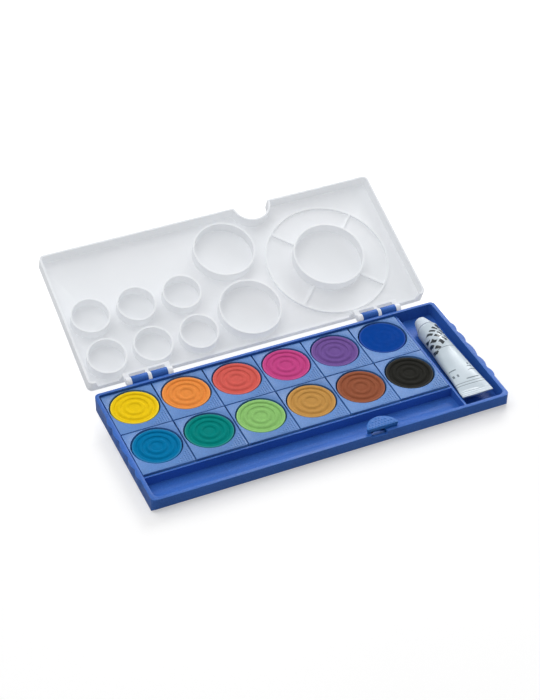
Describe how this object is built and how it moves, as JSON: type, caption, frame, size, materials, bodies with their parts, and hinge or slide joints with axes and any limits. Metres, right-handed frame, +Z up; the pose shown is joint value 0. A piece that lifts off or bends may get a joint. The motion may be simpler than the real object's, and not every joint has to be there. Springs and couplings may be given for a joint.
{
  "type": "watercolour pan set",
  "caption": "Flat case of loose square watercolour pans with a brush trough, a tube of white and a hinged palette lid, shown open.",
  "frame": {"origin": "centre of the case's underside, on the table plane", "axes": "+X to the right along the case's long side, +Y towards the hinges, +Z up"},
  "size_m": [0.2414, 0.2091, 0.0478],
  "materials": {
    "case_blue": "satin moulded polypropylene",
    "pan_blue": "matt moulded polystyrene",
    "latch_blue": "satin moulded polypropylene",
    "lid_milky": "milky translucent polypropylene",
    "tube_white": "lacquered laminate",
    "cap_white": "matt moulded plastic",
    "paint_white": "wet paste",
    "cake_yellow": "dry pressed watercolour",
    "cake_orange": "dry pressed watercolour",
    "cake_red": "dry pressed watercolour",
    "cake_magenta": "dry pressed watercolour",
    "cake_violet": "dry pressed watercolour",
    "cake_ultramarine": "dry pressed watercolour",
    "cake_turquoise": "dry pressed watercolour",
    "cake_green": "dry pressed watercolour",
    "cake_yellow_green": "dry pressed watercolour",
    "cake_ochre": "dry pressed watercolour",
    "cake_brown": "dry pressed watercolour",
    "cake_black": "dry pressed watercolour"
  },
  "bodies": {
    "case": {"case_tray": "case_blue"},
    "latch": {"latch_tab": "latch_blue"},
    "lid": {"palette_lid": "lid_milky"},
    "pan_yellow": {"pan_yellow": "pan_blue", "cake_yellow": "cake_yellow"},
    "pan_orange": {"pan_orange": "pan_blue", "cake_orange": "cake_orange"},
    "pan_red": {"pan_red": "pan_blue", "cake_red": "cake_red"},
    "pan_magenta": {"pan_magenta": "pan_blue", "cake_magenta": "cake_magenta"},
    "pan_violet": {"pan_violet": "pan_blue", "cake_violet": "cake_violet"},
    "pan_ultramarine": {"pan_ultramarine": "pan_blue", "cake_ultramarine": "cake_ultramarine"},
    "pan_turquoise": {"pan_turquoise": "pan_blue", "cake_turquoise": "cake_turquoise"},
    "pan_green": {"pan_green": "pan_blue", "cake_green": "cake_green"},
    "pan_yellow_green": {"pan_yellow_green": "pan_blue", "cake_yellow_green": "cake_yellow_green"},
    "pan_ochre": {"pan_ochre": "pan_blue", "cake_ochre": "cake_ochre"},
    "pan_brown": {"pan_brown": "pan_blue", "cake_brown": "cake_brown"},
    "pan_black": {"pan_black": "pan_blue", "cake_black": "cake_black"},
    "tube": {"tube_sleeve": "tube_white", "tube_shoulder": "cap_white", "tube_paint": "paint_white"},
    "cap": {"tube_cap": "cap_white"}
  },
  "joints": [
    {"name": "lid_hinge", "type": "hinge", "parent": "case", "child": "lid", "pos_m": [0, 0.05495, 0.01008], "axis": [-1, 0, 0], "range_deg": [-159, 0]},
    {"name": "latch_press", "type": "slide", "parent": "case", "child": "latch", "axis": [0, 0, -1], "range_m": [0, 0.0015], "stiffness_N_per_m": 3000},
    {"name": "pan_lift_yellow", "type": "slide", "parent": "case", "child": "pan_yellow", "axis": [0, 0, 1], "range_m": [0, 0.025]},
    {"name": "pan_lift_orange", "type": "slide", "parent": "case", "child": "pan_orange", "axis": [0, 0, 1], "range_m": [0, 0.025]},
    {"name": "pan_lift_red", "type": "slide", "parent": "case", "child": "pan_red", "axis": [0, 0, 1], "range_m": [0, 0.025]},
    {"name": "pan_lift_magenta", "type": "slide", "parent": "case", "child": "pan_magenta", "axis": [0, 0, 1], "range_m": [0, 0.025]},
    {"name": "pan_lift_violet", "type": "slide", "parent": "case", "child": "pan_violet", "axis": [0, 0, 1], "range_m": [0, 0.025]},
    {"name": "pan_lift_ultramarine", "type": "slide", "parent": "case", "child": "pan_ultramarine", "axis": [0, 0, 1], "range_m": [0, 0.025]},
    {"name": "pan_lift_turquoise", "type": "slide", "parent": "case", "child": "pan_turquoise", "axis": [0, 0, 1], "range_m": [0, 0.025]},
    {"name": "pan_lift_green", "type": "slide", "parent": "case", "child": "pan_green", "axis": [0, 0, 1], "range_m": [0, 0.025]},
    {"name": "pan_lift_yellow_green", "type": "slide", "parent": "case", "child": "pan_yellow_green", "axis": [0, 0, 1], "range_m": [0, 0.025]},
    {"name": "pan_lift_ochre", "type": "slide", "parent": "case", "child": "pan_ochre", "axis": [0, 0, 1], "range_m": [0, 0.025]},
    {"name": "pan_lift_brown", "type": "slide", "parent": "case", "child": "pan_brown", "axis": [0, 0, 1], "range_m": [0, 0.025]},
    {"name": "pan_lift_black", "type": "slide", "parent": "case", "child": "pan_black", "axis": [0, 0, 1], "range_m": [0, 0.025]},
    {"name": "tube_lift", "type": "slide", "parent": "case", "child": "tube", "axis": [0, 0, 1], "range_m": [0, 0.04]},
    {"name": "cap_turn", "type": "hinge", "parent": "tube", "child": "cap", "pos_m": [0.10285, 0.034, 0.00845], "axis": [0, 1, 0], "range_deg": [0, 720]}
  ]
}
